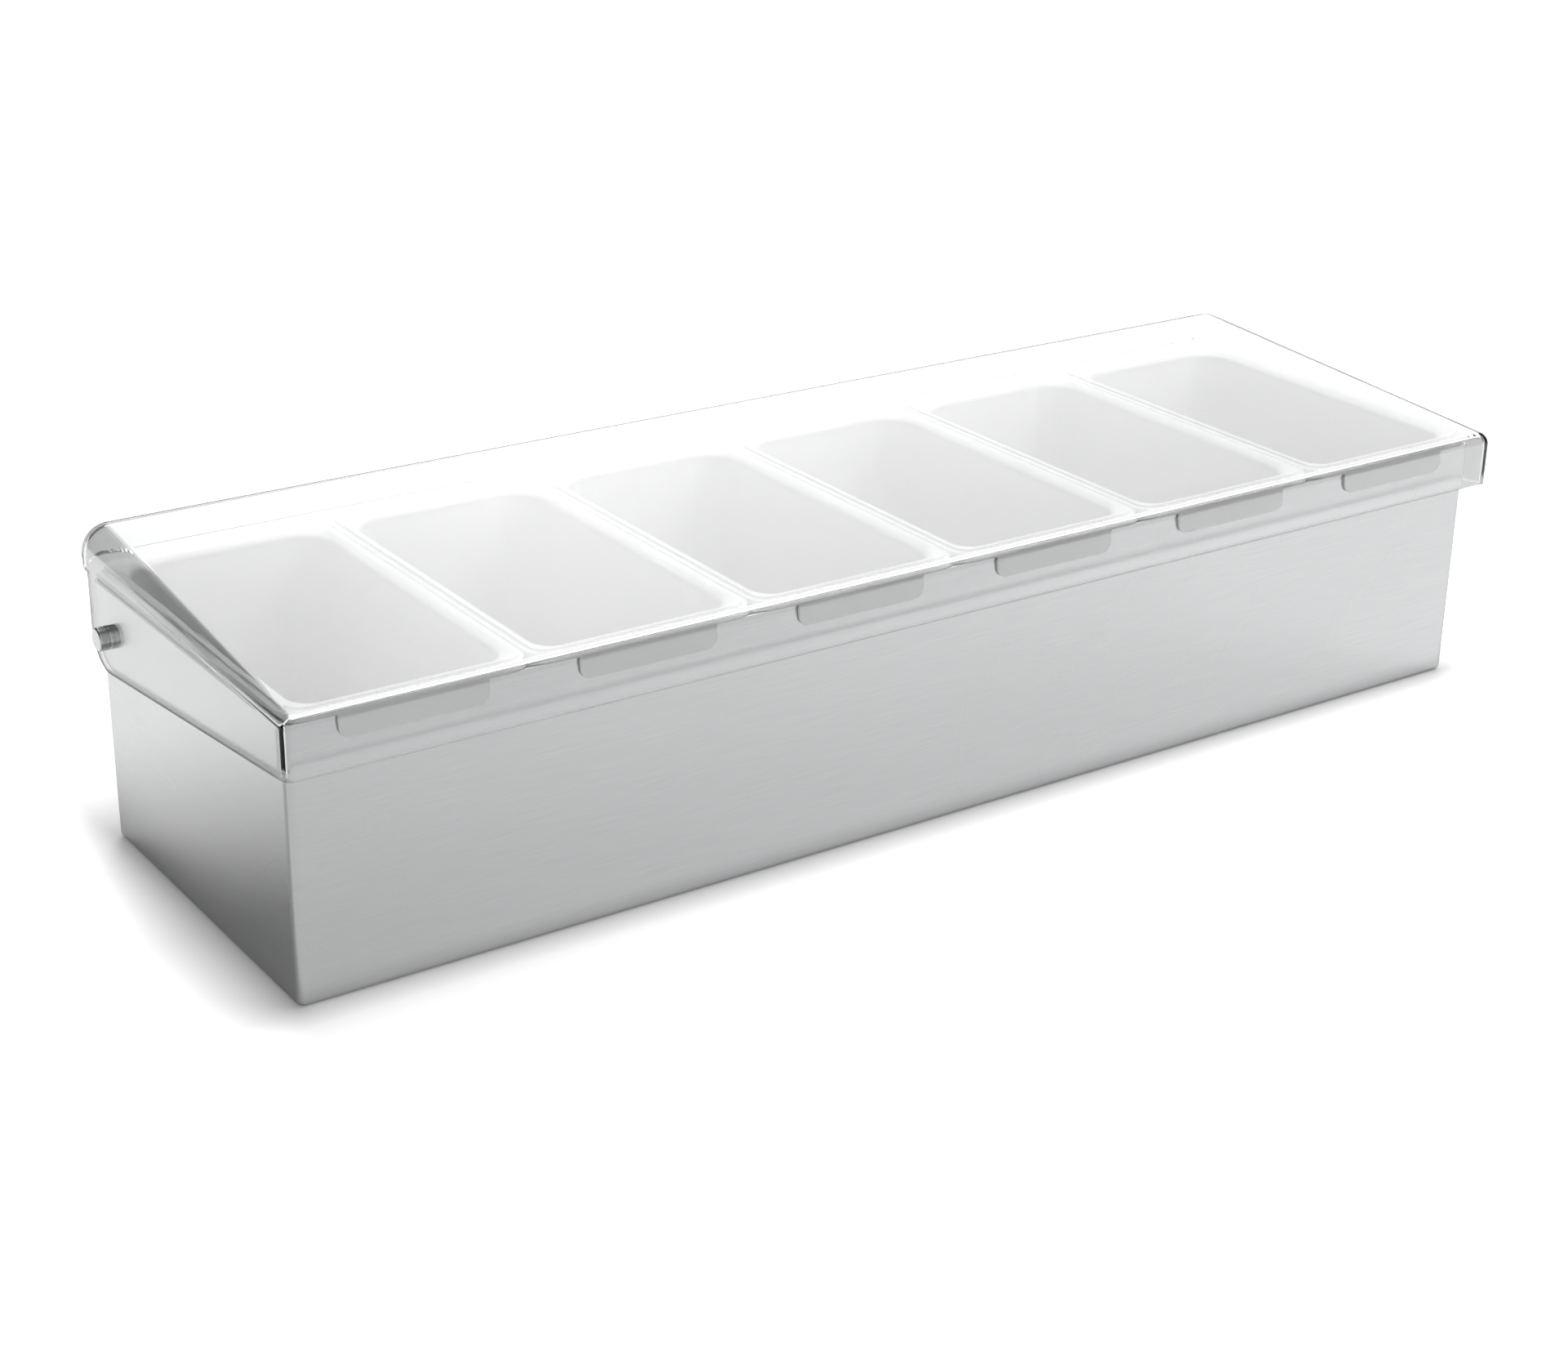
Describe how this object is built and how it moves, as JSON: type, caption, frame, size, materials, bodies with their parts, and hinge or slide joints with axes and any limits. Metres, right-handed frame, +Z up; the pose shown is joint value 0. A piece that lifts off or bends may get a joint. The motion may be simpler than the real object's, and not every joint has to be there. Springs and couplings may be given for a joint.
{
  "type": "condiment container",
  "caption": "Long steel box with a row of lift-out white trays under a clear, sloping, rear-hinged lid, for holding garnishes and condiments.",
  "frame": {"origin": "middle of the base's underside, on the surface that it stands on", "axes": "+X along the length to the right-hand hinge stud, +Y from the front skirt to the hinge side, +Z up"},
  "size_m": [0.5026, 0.1606, 0.1098],
  "materials": {
    "satin_steel": "fine satin, folded sheet",
    "stud_steel": "turned, lightly polished",
    "white_plastic": "smooth translucent white",
    "clear_plastic": "clear, glossy, moulded"
  },
  "bodies": {
    "base": {"base_box": "satin_steel", "left_hinge_stud": "stud_steel", "right_hinge_stud": "stud_steel", "condiment_tray_1": "white_plastic", "condiment_tray_2": "white_plastic", "condiment_tray_3": "white_plastic", "condiment_tray_4": "white_plastic", "condiment_tray_5": "white_plastic", "condiment_tray_6": "white_plastic"},
    "lid": {"clear_lid": "clear_plastic"}
  },
  "joints": [
    {"name": "lid_hinge", "type": "hinge", "parent": "base", "child": "lid", "pos_m": [0, 0.0585, 0.0765], "axis": [-1, 0, 0], "range_deg": [0, 104]}
  ]
}
